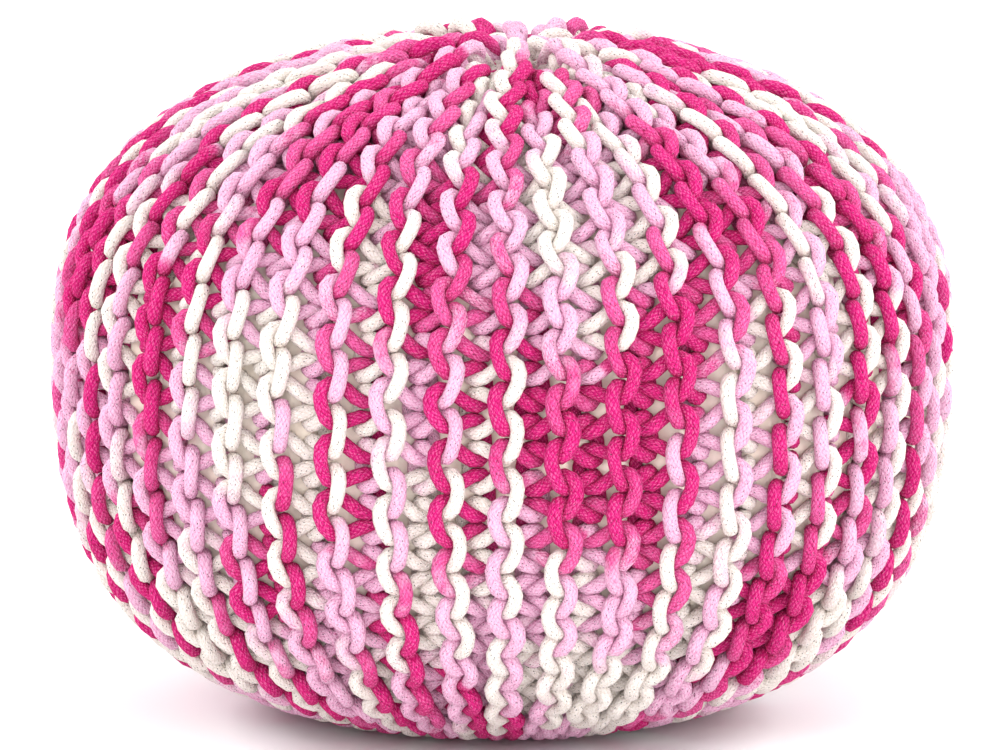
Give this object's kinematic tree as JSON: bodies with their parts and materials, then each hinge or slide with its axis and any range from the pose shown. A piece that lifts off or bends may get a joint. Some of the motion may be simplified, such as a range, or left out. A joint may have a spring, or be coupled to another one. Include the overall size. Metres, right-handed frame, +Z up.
{
  "type": "knitted pouf",
  "caption": "Round stuffed pouf in a thick garter-stitch cord cover with meridian ridges, a gathered top and a flat underside.",
  "frame": {"origin": "middle of the flat underside, on the floor", "axes": "+Z up through the gathered centres of the underside and the top; -Y is the side the picture shows"},
  "size_m": [0.4994, 0.4994, 0.3774],
  "materials": {
    "braided_cord": "braided cotton cord dyed in runs of fuchsia, lilac pink and cream, with fine dark flecks",
    "casing_cloth": "plain woven cream cloth, matt"
  },
  "bodies": {
    "root": {"knitted_cover": "braided_cord", "inner_casing": "casing_cloth"}
  },
  "joints": []
}
